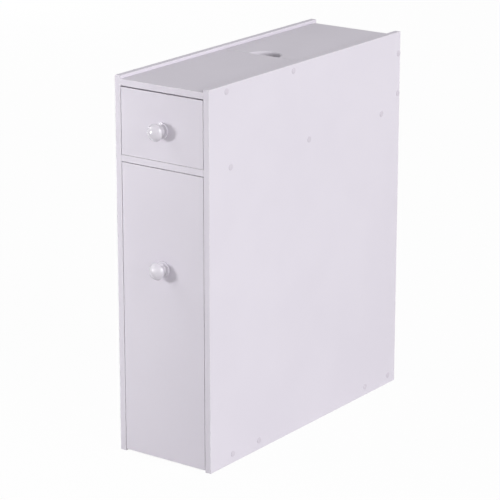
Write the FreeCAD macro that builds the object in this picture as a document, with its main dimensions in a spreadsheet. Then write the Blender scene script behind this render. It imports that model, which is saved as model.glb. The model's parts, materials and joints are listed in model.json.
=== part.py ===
"""Slim bathroom cabinet: a small drawer, a lidded paper compartment and a tall pull-out.

Millimetres. +X is the cabinet's right, -Y its front and +Z up. The origin lies on the floor, under
the middle of the cabinet measured over its knobs.
"""
import FreeCAD, Part
import math
import os
import Sketcher
from collections import namedtuple

SIZES = {
    # Carcass of painted board, with thin panels held in grooves
    "cabinet_width": 170,
    "cabinet_depth": 500,
    "cabinet_height": 580,
    "board": 10,
    "hardboard": 3,
    "edge_round": 0.5,
    "groove_depth": 4,
    "groove_clearance": 0.1,
    "fit_clearance": 0.05,
    "side_rise": 4.5,
    "top_depth": 250,
    "drawer_bay_height": 103,
    "rail_lift": 9.5,
    "rail_depth": 107,
    "front_rail_setback": 35,
    "back_panel_setback": 11,
    "partition_setback": 4,
    # Screws through the side panels, and the caps over them
    "top_screw_inset": 42,
    "divider_screw_inset": 51.5,
    "back_screw_inset": 19.5,
    "rail_screw_inset": 20,
    "carcass_screw_length": 38,
    "carcass_screw_radius": 2.4,
    "carcass_screw_head_radius": 3.5,
    "carcass_screw_head_height": 2.5,
    "socket_radius": 1.6,
    "socket_depth": 1.8,
    "cap_radius": 4.7,
    "cap_height": 0.8,
    "cap_rim_height": 0.3,
    "cap_stem_length": 1.5,
    # Rear lid, with its pivots and rests
    "lid_seam": 2,
    "lid_rear_setback": 3,
    "lid_side_gap": 1.2,
    "lid_swing_gap": 0.3,
    "lid_edge_round": 1.2,
    "notch_radius": 25,
    "pin_radius": 2.5,
    "pin_in_lid": 12,
    "pin_chamfer": 0.4,
    "bush_radius": 4,
    "bush_length": 7,
    "bush_flange_thickness": 0.8,
    "pin_end_gap": 0.5,
    "peg_inset": 15,
    "peg_radius": 2.5,
    "peg_depth": 7,
    "peg_tab_length": 9,
    "peg_tab_width": 10,
    "peg_tab_height": 6,
    # Gaps round the two fronts
    "front_side_gap": 1,
    "drawer_front_top_gap": 1.8,
    "drawer_front_bottom_gap": 0.5,
    "pullout_front_top_gap": 1.1,
    "pullout_front_floor_gap": 3,
    # Drawer box
    "drawer_lift": 8.5,
    "drawer_headroom": 20,
    "drawer_rear_space": 21,
    "drawer_bottom_lift": 4,
    # Pull-out trays
    "pullout_lift": 8.5,
    "pullout_rear_space": 54,
    "lower_guard_height": 80,
    "upper_guard_height": 60,
    "tray_knob_gap": 10.25,
    "shelf_lift": 2,
    "shelf_screw_inset": 70,
    # Joints of the two boxes
    "dowel_radius": 3,
    "dowel_length": 22,
    "dowel_in_front": 7,
    "dowel_inset": 20,
    "dowel_chamfer": 0.6,
    "box_screw_length": 30,
    "box_screw_radius": 1.75,
    "box_screw_head_radius": 3,
    "box_screw_head_height": 2,
    # Roller runners
    "runner_space": 12.5,
    "runner_sheet": 1.2,
    "runner_front_gap": 2,
    "runner_rear_gap": 10,
    "runner_flange_gap": 0.4,
    "runner_roof_gap": 1.5,
    "runner_tip_gap": 0.8,
    "runner_foot": 8,
    "axle_height": 12,
    "roller_radius": 9.5,
    "roller_width": 5,
    "roller_edge": 0.8,
    "roller_gap": 0.3,
    "roller_side_gap": 0.5,
    "roller_inset": 12,
    "rivet_radius": 2.5,
    "rivet_head_radius": 4,
    "rivet_head_height": 1,
    "runner_screw_length": 8,
    "runner_screw_radius": 1.5,
    "runner_screw_head_radius": 2.8,
    "runner_screw_head_height": 1.2,
    "cabinet_runner_screw_inset": 35,
    "drawer_runner_screw_inset": 50,
    # Knobs
    "knob_projection": 25,
    "knob_head_radius": 12.9,
    "knob_rim_height": 16,
    "knob_rim_radius": 2.4,
    "knob_neck_radius": 7,
    "knob_neck_top": 11.4,
    "knob_neck_fillet": 1.8,
    "knob_flange_radius": 12.2,
    "knob_flange_height": 2.8,
    "knob_screw_radius": 2,
    "knob_screw_grip": 14,
    "knob_screw_end_gap": 1,
    "knob_screw_head_radius": 4,
    "knob_screw_head_height": 2.2,
    "drawer_knob_share": 0.46,
    "pullout_knob_share": 0.6654,
}

doc = FreeCAD.newDocument("bathroom_cabinet")
sheet = doc.addObject("Spreadsheet::Sheet", "Sizes")
for row, (name, value) in enumerate(SIZES.items(), start=1):
    sheet.set(f"A{row}", name)
    sheet.set(f"B{row}", str(value))
    sheet.setAlias(f"B{row}", name)
doc.recompute()


class Length:
    """A length: its value now, and the formula over the named sizes that drives it."""

    def __init__(self, value, formula):
        self.value = value
        self.formula = formula

    def __add__(self, other):
        other = as_length(other)
        return Length(self.value + other.value, f"({self.formula} + {other.formula})")

    def __sub__(self, other):
        other = as_length(other)
        return Length(self.value - other.value, f"({self.formula} - {other.formula})")

    def __mul__(self, other):
        other = as_length(other)
        return Length(self.value * other.value, f"({self.formula} * {other.formula})")

    def __truediv__(self, other):
        other = as_length(other)
        return Length(self.value / other.value, f"({self.formula} / {other.formula})")

    def __neg__(self):
        return Length(-self.value, f"(-{self.formula})")

    __radd__ = __add__
    __rmul__ = __mul__


def as_length(number):
    """Wrap a plain number, such as a count or a factor."""
    return number if isinstance(number, Length) else Length(float(number), repr(number))


size = namedtuple("Size", SIZES)(*(Length(float(sheet.get(name)), f"Sizes.{name}") for name in SIZES))

SIDES = {"left": -1, "right": 1}
AXIS_PLANES = {"X": "YZ_Plane", "Y": "XZ_Plane", "Z": "XY_Plane"}
PLANE_NORMALS = {"X": 1, "Y": -1, "Z": 1}

# How a sketch numbers its axes, downwards, and the points of a line or arc; its origin is point 1 of H_AXIS
H_AXIS, V_AXIS = range(-1, -3, -1)
START, END, CENTRE = range(1, 4)
ORIGIN, ROOT_POINT = H_AXIS, START

TURNS = {
    "+X": FreeCAD.Rotation(),
    "-X": FreeCAD.Rotation(FreeCAD.Vector(0, 0, 1), 180),
    "+Y": FreeCAD.Rotation(FreeCAD.Vector(0, 0, 1), 90),
    "-Y": FreeCAD.Rotation(FreeCAD.Vector(0, 0, 1), -90),
}
INWARD = {-1: "+X", 1: "-X"}
OUTWARD = {-1: "-X", 1: "+X"}

# An outline corner; an arc leads to it where a centre is given, turning +1 anticlockwise or -1
# clockwise. held says which coordinate of the centre is set, 0 or 1; the other follows.
Corner = namedtuple("Corner", "u v centre turn held", defaults=(None, 0, 0))

sub_parts = []


def node(thing, label):
    """Name a finished sub-part and keep it for export."""
    thing.Label = label
    sub_parts.append(thing)
    return thing


def new_body(label, keep=True):
    body = doc.addObject("PartDesign::Body", label)
    if keep:
        node(body, label)
    return body


def new_sketch(body, name, axis, place):
    """Sketch square to an axis, at a place along it."""
    sketch = body.newObject("Sketcher::SketchObject", f"{body.Name}_{name}")
    plane = next(item for item in body.Origin.OriginFeatures if item.Role == AXIS_PLANES[axis])
    sketch.AttachmentSupport = [(plane, "")]
    sketch.MapMode = "FlatFace"
    if isinstance(place, Length):
        sketch.setExpression("AttachmentOffset.Base.z", (place * PLANE_NORMALS[axis]).formula)
    return sketch


def hold(sketch, kind, axis, geometry, end, coordinate):
    """Tie one coordinate of a sketch point to its formula, or to the axis where it is zero."""
    if isinstance(coordinate, Length):
        rule = Sketcher.Constraint(kind, ORIGIN, ROOT_POINT, geometry, end, coordinate.value)
        index = sketch.addConstraint(rule)
        sketch.setExpression(f"Constraints[{index}]", coordinate.formula)
    else:
        sketch.addConstraint(Sketcher.Constraint("PointOnObject", geometry, end, axis))


def hold_point(sketch, geometry, end, u, v):
    hold(sketch, "DistanceX", V_AXIS, geometry, end, u)
    hold(sketch, "DistanceY", H_AXIS, geometry, end, v)


def vector(u, v):
    return FreeCAD.Vector(as_length(u).value, as_length(v).value, 0)


def draw(sketch, corners):
    """Closed outline of lines and arcs through the corners, each corner tied to its formulas."""
    corners = [corner if isinstance(corner, Corner) else Corner(*corner) for corner in corners]
    ends = []
    for last, corner in zip(corners[-1:] + corners[:-1], corners):
        start, stop = vector(last.u, last.v), vector(corner.u, corner.v)
        if corner.centre is None:
            index = sketch.addGeometry(Part.LineSegment(start, stop), False)
            ends.append((index, START, END))
            continue
        centre = vector(*corner.centre)
        first, second = (start, stop) if corner.turn > 0 else (stop, start)
        circle = Part.Circle(centre, FreeCAD.Vector(0, 0, 1), (start - centre).Length)
        angles = [math.atan2(point.y - centre.y, point.x - centre.x) for point in (first, second)]
        index = sketch.addGeometry(Part.ArcOfCircle(circle, *angles), False)
        ends.append((index, START, END) if corner.turn > 0 else (index, END, START))
    for (index, _, stop_end), (follower, start_end, _) in zip(ends, ends[1:] + ends[:1]):
        sketch.addConstraint(Sketcher.Constraint("Coincident", index, stop_end, follower, start_end))
    for (index, _, stop_end), corner in zip(ends, corners):
        hold_point(sketch, index, stop_end, corner.u, corner.v)
        if corner.centre is not None:
            kind, axis = (("DistanceX", V_AXIS), ("DistanceY", H_AXIS))[corner.held]
            hold(sketch, kind, axis, index, CENTRE, corner.centre[corner.held])


def rectangle(u, v):
    return [(u[0], v[0]), (u[1], v[0]), (u[1], v[1]), (u[0], v[1])]


def pad(body, sketch, length):
    feature = body.newObject("PartDesign::Pad", f"{sketch.Name}_pad")
    feature.Profile = sketch
    feature.setExpression("Length", length.formula)
    doc.recompute()
    return feature


def cut_sense(feature, axis, sense):
    """Point a cut along +axis or -axis."""
    feature.Reversed = sense == PLANE_NORMALS[axis]


def check_cut(body, volume):
    if not body.Shape.Volume < volume:
        raise RuntimeError(f"a cut in {body.Label} removes nothing")


def pocket(body, name, axis, sense, face, corners, depth):
    """Cut an outline into the body from a face, to a depth along +axis or -axis."""
    volume = body.Shape.Volume
    sketch = new_sketch(body, name, axis, face)
    draw(sketch, corners)
    feature = body.newObject("PartDesign::Pocket", f"{sketch.Name}_pocket")
    feature.Profile = sketch
    feature.setExpression("Length", depth.formula)
    cut_sense(feature, axis, sense)
    doc.recompute()
    check_cut(body, volume)


def drill(body, name, axis, sense, face, places, radius, depth=None, head=None):
    """Drill round holes from a face; with no depth they go through. head is a counterbore."""
    volume = body.Shape.Volume
    sketch = new_sketch(body, name, axis, face)
    for u, v in places:
        circle = Part.Circle(vector(u, v), FreeCAD.Vector(0, 0, 1), radius.value)
        index = sketch.addGeometry(circle, False)
        hold_point(sketch, index, CENTRE, u, v)
        rule = sketch.addConstraint(Sketcher.Constraint("Radius", index, radius.value))
        sketch.setExpression(f"Constraints[{rule}]", radius.formula)
    doc.recompute()
    feature = body.newObject("PartDesign::Hole", f"{sketch.Name}_hole")
    feature.Profile = sketch
    doc.recompute()
    feature.Threaded = False
    feature.DrillPoint = "Flat"
    feature.setExpression("Diameter", (2 * radius).formula)
    feature.DepthType = "Dimension" if depth else "ThroughAll"
    if depth:
        feature.setExpression("Depth", depth.formula)
    if head:
        head_radius, head_depth = head
        feature.HoleCutType = "Counterbore"
        feature.HoleCutCustomValues = True
        feature.setExpression("HoleCutDiameter", (2 * head_radius).formula)
        feature.setExpression("HoleCutDepth", head_depth.formula)
    cut_sense(feature, axis, sense)
    doc.recompute()
    check_cut(body, volume)


def board(label, axis, x, y, z, rounded=True):
    """Flat board between two places on each axis, thin along the given one, with eased edges."""
    body = new_body(label)
    ranges = {"X": x, "Y": y, "Z": z}
    low, high = ranges.pop(axis)
    sketch = new_sketch(body, "outline", axis, low if PLANE_NORMALS[axis] > 0 else high)
    draw(sketch, rectangle(*ranges.values()))
    blank = pad(body, sketch, high - low)
    if rounded:
        easing = body.newObject("PartDesign::Fillet", f"{label}_easing")
        easing.Base = (blank, [""])
        easing.UseAllEdges = True
        easing.setExpression("Radius", size.edge_round.formula)
        doc.recompute()
    return body


def turned(label, corners, keep=False):
    """Round piece turned about +X: corners give the place along X and the radius."""
    body = new_body(label, keep)
    sketch = new_sketch(body, "profile", "Z", 0)
    draw(sketch, corners)
    feature = body.newObject("PartDesign::Revolution", f"{label}_turning")
    feature.Profile = sketch
    feature.ReferenceAxis = (sketch, ["H_Axis"])
    doc.recompute()
    return body


def set_place(thing, place, turn):
    """Put a piece at a place, turned so that its +X points the given way."""
    thing.Placement = FreeCAD.Placement(FreeCAD.Vector(), TURNS[turn])
    for letter, coordinate in zip("xyz", place):
        if isinstance(coordinate, Length):
            thing.setExpression(f"Placement.Base.{letter}", coordinate.formula)


def copies(label, pattern, places):
    """One node of like pieces: a copy of the pattern at each place and turn."""
    links = []
    for number, (*place, turn) in enumerate(places, start=1):
        link = doc.addObject("App::Link", f"{label}_{number}")
        link.LinkedObject = pattern
        set_place(link, place, turn)
        links.append(link)
    group = doc.addObject("Part::Compound", label)
    group.Links = links
    node(group, label)
    doc.recompute()


# Main planes of the cabinet
half_width = size.cabinet_width / 2
inner_half = half_width - size.board
front = (size.knob_projection - size.cabinet_depth) / 2
rear = front + size.cabinet_depth
front_back = front + size.board
top_face = size.cabinet_height - size.side_rise
top_under = top_face - size.board
top_rear = front + size.top_depth
divider_top = top_under - size.drawer_bay_height
divider_under = divider_top - size.board
rail_top = size.rail_lift + size.board
front_rail = (front + size.front_rail_setback, front + size.front_rail_setback + size.rail_depth)
rear_rail = (rear - size.rail_depth, rear)
back_board_top = top_under - size.lid_swing_gap
back_panel = (rear - size.back_panel_setback - size.hardboard, rear - size.back_panel_setback)
partition = (top_rear - size.partition_setback - size.hardboard, top_rear - size.partition_setback)
between_sides = (-inner_half, inner_half)

# Lid
lid_front = top_rear + size.lid_seam
lid_half = inner_half - size.lid_side_gap
pivot_y = rear - size.lid_rear_setback - size.board / 2
pivot_z = top_face - size.board / 2
peg_y = lid_front + size.peg_inset
peg_z = top_under - size.peg_tab_height / 2

# Drawer and pull-out boxes
box_half = inner_half - size.runner_space
box_inner_half = box_half - size.board
front_half = inner_half - size.front_side_gap
drawer_front_z = (divider_top + size.drawer_front_bottom_gap, top_under - size.drawer_front_top_gap)
drawer_side_z = (divider_top + size.drawer_lift, top_under - size.drawer_headroom)
drawer_rear = partition[0] - size.drawer_rear_space
drawer_bottom_z = (drawer_side_z[0] + size.drawer_bottom_lift,
                   drawer_side_z[0] + size.drawer_bottom_lift + size.hardboard)
pullout_front_z = (size.pullout_front_floor_gap, divider_under - size.pullout_front_top_gap)
pullout_rear = back_panel[0] - size.pullout_rear_space
pullout_bottom = rail_top + size.pullout_lift
guard_rear = pullout_rear - size.board
drawer_knob_z = drawer_front_z[0] + size.drawer_knob_share * (drawer_front_z[1] - drawer_front_z[0])
pullout_knob_z = (pullout_front_z[0]
                  + size.pullout_knob_share * (pullout_front_z[1] - pullout_front_z[0]))
lower_tray_z = (pullout_bottom, pullout_bottom + size.lower_guard_height)
upper_tray_top = pullout_knob_z - size.tray_knob_gap
upper_tray_z = (upper_tray_top - size.upper_guard_height, upper_tray_top)


def spread(low, high, inset):
    """Two places, each an inset from an end."""
    return [low + inset, high - inset]


def middle(pair):
    return (pair[0] + pair[1]) / 2


# Screws through the side panels, as (y, z) places for each board that they hold
carcass_screws = {
    "top_panel": [(y, top_face - size.board / 2) for y in spread(front, top_rear, size.top_screw_inset)],
    "divider_panel": [(y, divider_top - size.board / 2)
                      for y in spread(front, rear, size.divider_screw_inset) + [(front + rear) / 2]],
    "upper_back_board": [(rear - size.board / 2, z)
                         for z in spread(divider_top, back_board_top, size.back_screw_inset)],
    "front_bottom_rail": [(y, rail_top - size.board / 2) for y in spread(*front_rail, size.rail_screw_inset)],
    "rear_bottom_rail": [(y, rail_top - size.board / 2) for y in spread(*rear_rail, size.rail_screw_inset)],
}


# A box that slides on roller runners: its name, the ends of its runners, the lower edge of its sides
Box = namedtuple("Box", "name runner_front runner_rear side_bottom")
runner_front = front_back + size.runner_front_gap
drawer_box = Box("drawer", runner_front, drawer_rear - size.runner_rear_gap, drawer_side_z[0])
pullout_box = Box("pullout", runner_front, guard_rear - size.runner_rear_gap, lower_tray_z[0])


def axle_z(box):
    return box.side_bottom + size.axle_height


def cabinet_axle_y(box):
    return box.runner_front + size.roller_inset


def box_axle_y(box):
    return box.runner_rear - size.roller_inset


def cabinet_runner_screw_places(box):
    ys = spread(box.runner_front, box.runner_rear, size.cabinet_runner_screw_inset)
    return [(y, axle_z(box)) for y in ys]


def box_runner_screw_places(box):
    ys = spread(box.runner_front, box.runner_rear, size.drawer_runner_screw_inset)
    return [(y, axle_z(box)) for y in ys]


def inward(side, distance):
    """Place on X at a distance in from a side panel's inner face."""
    return side * (inner_half - distance)


# Holes are wider than what they take by one fit clearance
carcass_hole = size.carcass_screw_radius + size.fit_clearance
carcass_head = (size.carcass_screw_head_radius + size.fit_clearance, size.carcass_screw_head_height)
box_hole = size.box_screw_radius + size.fit_clearance
box_head = (size.box_screw_head_radius + size.fit_clearance, size.box_screw_head_height)
dowel_hole = size.dowel_radius + size.fit_clearance
runner_screw_hole = size.runner_screw_radius + size.fit_clearance
runner_pilot_depth = size.runner_screw_length - size.runner_sheet + size.fit_clearance
rivet_hole = size.rivet_radius + size.fit_clearance
knob_bore = size.knob_screw_radius + size.fit_clearance
box_screw_in_end = size.box_screw_length - size.board + size.fit_clearance
dowel_in_end = size.dowel_length - size.dowel_in_front
box_side_mid = box_half - size.board / 2


# Carcass
def side_panel(name, side):
    low, high = sorted((side * inner_half, side * half_width), key=lambda place: place.value)
    panel = board(f"{name}_side_panel", "X", (low, high), (front, rear), (0, size.cabinet_height))
    inner_face = side * inner_half
    screws = [place for places in carcass_screws.values() for place in places]
    drill(panel, "screws", "X", -side, side * half_width, screws, carcass_hole, head=carcass_head)
    for groove, panel_y, panel_z in (("partition_groove", partition, (divider_top, top_under)),
                                     ("back_groove", back_panel, (rail_top, divider_under))):
        groove_y = (panel_y[0] - size.groove_clearance, panel_y[1] + size.groove_clearance)
        pocket(panel, groove, "X", side, inner_face, rectangle(groove_y, panel_z), size.groove_depth)
    drill(panel, "bush", "X", side, inner_face, [(pivot_y, pivot_z)],
          size.bush_radius + size.fit_clearance, size.bush_length + size.fit_clearance)
    drill(panel, "peg", "X", side, inner_face, [(peg_y, peg_z)],
          size.peg_radius + size.fit_clearance, size.peg_depth + size.fit_clearance)
    pilots = [place for box in (drawer_box, pullout_box) for place in cabinet_runner_screw_places(box)]
    drill(panel, "runner_screws", "X", side, inner_face, pilots, runner_screw_hole, runner_pilot_depth)


def cross_board(name, axis, y, z):
    """Board between the side panels, with screw holes in both ends."""
    piece = board(name, axis, between_sides, y, z)
    depth = size.carcass_screw_length - size.board + size.fit_clearance
    for end, side in SIDES.items():
        places = carcass_screws[name]
        drill(piece, f"{end}_screws", "X", -side, side * inner_half, places, carcass_hole, depth)


def groove_panel(name, y, z):
    """Thin panel whose edges lie in the grooves of the side panels."""
    reach = inner_half + size.groove_depth - size.groove_clearance
    board(name, "Y", (-reach, reach), y, z, rounded=False)


for name, side in SIDES.items():
    side_panel(name, side)
cross_board("top_panel", "Z", (front, top_rear), (top_under, top_face))
cross_board("divider_panel", "Z", (front, rear), (divider_under, divider_top))
cross_board("upper_back_board", "Y", (rear - size.board, rear), (divider_top, back_board_top))
cross_board("front_bottom_rail", "Z", front_rail, (size.rail_lift, rail_top))
cross_board("rear_bottom_rail", "Z", rear_rail, (size.rail_lift, rail_top))
groove_panel("compartment_partition", partition, (divider_top, top_under))
groove_panel("lower_back_panel", back_panel, (rail_top, divider_under))

carcass_screw = turned("carcass_screw", [
    (size.socket_depth, 0),
    (size.socket_depth, size.socket_radius),
    (0, size.socket_radius),
    (0, size.carcass_screw_head_radius),
    (size.carcass_screw_head_height, size.carcass_screw_head_radius),
    (size.carcass_screw_head_height, size.carcass_screw_radius),
    (size.carcass_screw_length - size.carcass_screw_radius, size.carcass_screw_radius),
    (size.carcass_screw_length, 0),
])
cap_stem_radius = size.socket_radius - size.fit_clearance
cap_round = size.cap_height - size.cap_rim_height
cap_face_radius = size.cap_radius - cap_round
cover_cap = turned("cover_cap", [
    (size.cap_stem_length, 0),
    (size.cap_stem_length, cap_stem_radius),
    (0, cap_stem_radius),
    (0, size.cap_radius),
    (-size.cap_rim_height, size.cap_radius),
    Corner(-size.cap_height, cap_face_radius, (-size.cap_rim_height, cap_face_radius), 1),
    (-size.cap_height, 0),
])
screw_places = [(side * half_width, y, z, INWARD[side])
                for side in SIDES.values() for places in carcass_screws.values() for y, z in places]
copies("carcass_screws", carcass_screw, screw_places)
copies("screw_cover_caps", cover_cap, screw_places)


# Lid: its rear edge is rounded about the pivot pins, so it turns clear of the back board
def rear_lid():
    lid = new_body("rear_lid")
    ease = size.lid_edge_round
    sketch = new_sketch(lid, "section", "X", -lid_half)
    draw(sketch, [
        (pivot_y, top_under),
        Corner(pivot_y, top_face, (pivot_y, pivot_z), 1),
        (lid_front + ease, top_face),
        Corner(lid_front, top_face - ease, (lid_front + ease, top_face - ease), 1),
        (lid_front, top_under + ease),
        Corner(lid_front + ease, top_under, (lid_front + ease, top_under + ease), 1),
    ])
    pad(lid, sketch, 2 * lid_half)
    drill(lid, "notch", "Z", -1, top_face, [(0, lid_front)], size.notch_radius)
    for end, side in SIDES.items():
        drill(lid, f"{end}_pin", "X", -side, side * lid_half, [(pivot_y, pivot_z)],
              size.pin_radius + size.fit_clearance, size.pin_in_lid + size.fit_clearance)


rear_lid()
pin_in_panel = size.bush_length - size.pin_end_gap
pin_length = pin_in_panel + size.lid_side_gap + size.pin_in_lid
pivot_pin = turned("pivot_pin", [
    (pin_length, 0),
    (pin_length, size.pin_radius - size.pin_chamfer),
    (pin_length - size.pin_chamfer, size.pin_radius),
    (size.pin_chamfer, size.pin_radius),
    (0, size.pin_radius - size.pin_chamfer),
    (0, 0),
])
bush_bore = size.pin_radius + size.fit_clearance
bush_flange_radius = size.board / 2
pivot_bush = turned("pivot_bush", [
    (-size.bush_flange_thickness, bush_bore),
    (size.bush_length, bush_bore),
    (size.bush_length, size.bush_radius),
    (0, size.bush_radius),
    (0, bush_flange_radius),
    (-size.bush_flange_thickness, bush_flange_radius),
])
copies("lid_pivot_pins", pivot_pin,
       [(side * (inner_half + pin_in_panel), pivot_y, pivot_z, INWARD[side]) for side in SIDES.values()])
copies("lid_pivot_bushes", pivot_bush,
       [(side * inner_half, pivot_y, pivot_z, OUTWARD[side]) for side in SIDES.values()])


def rest_peg():
    """Peg with a flat tab; its stem goes into the side panel along +X."""
    tab = doc.addObject("Part::Box", "peg_tab")
    tab.setExpression("Length", size.peg_tab_length.formula)
    tab.setExpression("Width", size.peg_tab_width.formula)
    tab.setExpression("Height", size.peg_tab_height.formula)
    tab.setExpression("Placement.Base.x", (-size.peg_tab_length).formula)
    tab.setExpression("Placement.Base.y", (-size.peg_tab_width / 2).formula)
    tab.setExpression("Placement.Base.z", (-size.peg_tab_height / 2).formula)
    stem = doc.addObject("Part::Cylinder", "peg_stem")
    stem.setExpression("Radius", size.peg_radius.formula)
    stem.setExpression("Height", size.peg_depth.formula)
    stem.Placement = FreeCAD.Placement(FreeCAD.Vector(), FreeCAD.Rotation(FreeCAD.Vector(0, 1, 0), 90))
    peg = doc.addObject("Part::Fuse", "rest_peg")
    peg.Base = tab
    peg.Tool = stem
    doc.recompute()
    return peg


copies("lid_rest_pegs", rest_peg(),
       [(side * inner_half, peg_y, peg_z, OUTWARD[side]) for side in SIDES.values()])


# Patterns for the pieces that both boxes use
dowel = turned("dowel", [
    (size.dowel_length, 0),
    (size.dowel_length, size.dowel_radius - size.dowel_chamfer),
    (size.dowel_length - size.dowel_chamfer, size.dowel_radius),
    (size.dowel_chamfer, size.dowel_radius),
    (0, size.dowel_radius - size.dowel_chamfer),
    (0, 0),
])
box_screw = turned("box_screw", [
    (0, 0),
    (0, size.box_screw_head_radius),
    (size.box_screw_head_height, size.box_screw_head_radius),
    (size.box_screw_head_height, size.box_screw_radius),
    (size.box_screw_length - size.box_screw_radius, size.box_screw_radius),
    (size.box_screw_length, 0),
])
runner_screw = turned("runner_screw", [
    (-size.runner_screw_head_height, 0),
    (-size.runner_screw_head_height, size.runner_screw_head_radius),
    (0, size.runner_screw_head_radius),
    (0, size.runner_screw_radius),
    (size.runner_screw_length - size.runner_screw_radius, size.runner_screw_radius),
    (size.runner_screw_length, 0),
])
rivet_grip = size.runner_sheet + size.roller_side_gap + size.roller_width + size.roller_gap
roller_rivet = turned("roller_rivet", [
    (0, 0),
    (0, size.rivet_radius),
    (rivet_grip, size.rivet_radius),
    (rivet_grip, size.rivet_head_radius),
    (rivet_grip + size.rivet_head_height, size.rivet_head_radius),
    (rivet_grip + size.rivet_head_height, 0),
])
knob_screw_length = size.board + size.knob_screw_grip
knob_screw = turned("knob_screw", [
    (-size.knob_screw_head_height, 0),
    (-size.knob_screw_head_height, size.knob_screw_head_radius),
    (0, size.knob_screw_head_radius),
    (0, size.knob_screw_radius),
    (knob_screw_length, size.knob_screw_radius),
    (knob_screw_length, 0),
])


# Fronts and knobs
def slide_front(name, z, knob_z, dowels):
    """Inset front with a knob, and blind holes for the dowels of the box behind it."""
    piece = board(f"{name}_front", "Y", (-front_half, front_half), (front, front_back), z)
    drill(piece, "knob_screw", "Y", -1, front_back, [(0, knob_z)], knob_bore)
    drill(piece, "dowels", "Y", -1, front_back, dowels, dowel_hole, size.dowel_in_front + size.fit_clearance)
    knob(f"{name}_knob", knob_z)
    copies(f"{name}_knob_screw", knob_screw, [(0, front_back, knob_z, "-Y")])
    copies(f"{name}_dowels", dowel, [(x, front_back - size.dowel_in_front, z, "+Y") for x, z in dowels])


def knob(label, z):
    """Mushroom knob: foot flange, waisted neck and domed head, bored for its screw."""
    fillet = size.knob_neck_fillet
    rim_centre = size.knob_head_radius - size.knob_rim_radius
    dome = size.knob_projection - size.knob_rim_height
    dome_radius = (size.knob_head_radius * size.knob_head_radius + dome * dome) / (2 * dome)
    bore_end = size.knob_screw_grip + size.knob_screw_end_gap
    piece = turned(label, [
        (bore_end, 0),
        (bore_end, knob_bore),
        (0, knob_bore),
        (0, size.knob_flange_radius),
        (size.knob_flange_height, size.knob_flange_radius),
        (size.knob_flange_height, size.knob_neck_radius + fillet),
        Corner(size.knob_flange_height + fillet, size.knob_neck_radius,
               (size.knob_flange_height + fillet, size.knob_neck_radius + fillet), 1),
        (size.knob_neck_top, size.knob_neck_radius),
        (size.knob_rim_height - size.knob_rim_radius, rim_centre),
        Corner(size.knob_rim_height, size.knob_head_radius, (size.knob_rim_height, rim_centre), -1),
        Corner(size.knob_projection, 0, (size.knob_projection - dome_radius, 0), -1, 1),
    ], keep=True)
    set_place(piece, (0, front, z), "-Y")


def side_dowels(*heights):
    """Dowel places, (x, z), in the front ends of a pair of sides for each height range."""
    return [(side * box_side_mid, z) for side in SIDES.values() for pair in heights
            for z in spread(*pair, size.dowel_inset)]


def box_side(label, side, box_rear, z, runner_box=None):
    """Side of a box: dowel holes in its front end and, over a runner, holes for the runner's screws."""
    outer = side * box_half
    low, high = sorted((outer, side * box_inner_half), key=lambda place: place.value)
    piece = board(label, "X", (low, high), (front_back, box_rear), z)
    places = [(side * box_side_mid, height) for height in spread(*z, size.dowel_inset)]
    drill(piece, "dowels", "Y", 1, front_back, places, dowel_hole, dowel_in_end + size.fit_clearance)
    if runner_box:
        drill(piece, "runner_screws", "X", -side, outer, box_runner_screw_places(runner_box),
              runner_screw_hole, runner_pilot_depth)
    return piece


# Drawer
def drawer():
    slide_front("drawer", drawer_front_z, drawer_knob_z, side_dowels(drawer_side_z))
    back_y = (drawer_rear - size.board, drawer_rear)
    back_screws = [(middle(back_y), z) for z in spread(*drawer_side_z, size.dowel_inset)]
    groove_z = (drawer_bottom_z[0] - size.groove_clearance, drawer_bottom_z[1] + size.groove_clearance)
    for name, side in SIDES.items():
        piece = box_side(f"drawer_{name}_side", side, drawer_rear, drawer_side_z, drawer_box)
        drill(piece, "back_screws", "X", -side, side * box_half, back_screws, box_hole, head=box_head)
        pocket(piece, "bottom_groove", "X", side, side * box_inner_half,
               rectangle((front_back, drawer_rear), groove_z), size.groove_depth)
    back = board("drawer_back", "Y", (-box_inner_half, box_inner_half), back_y,
                 (drawer_bottom_z[1], drawer_side_z[1]))
    for name, side in SIDES.items():
        drill(back, f"{name}_screws", "X", -side, side * box_inner_half, back_screws,
              box_hole, box_screw_in_end)
    reach = box_inner_half + size.groove_depth - size.groove_clearance
    board("drawer_bottom", "Z", (-reach, reach), (front_back, drawer_rear), drawer_bottom_z, rounded=False)
    copies("drawer_screws", box_screw,
           [(side * box_half, y, z, INWARD[side]) for side in SIDES.values() for y, z in back_screws])


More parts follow.
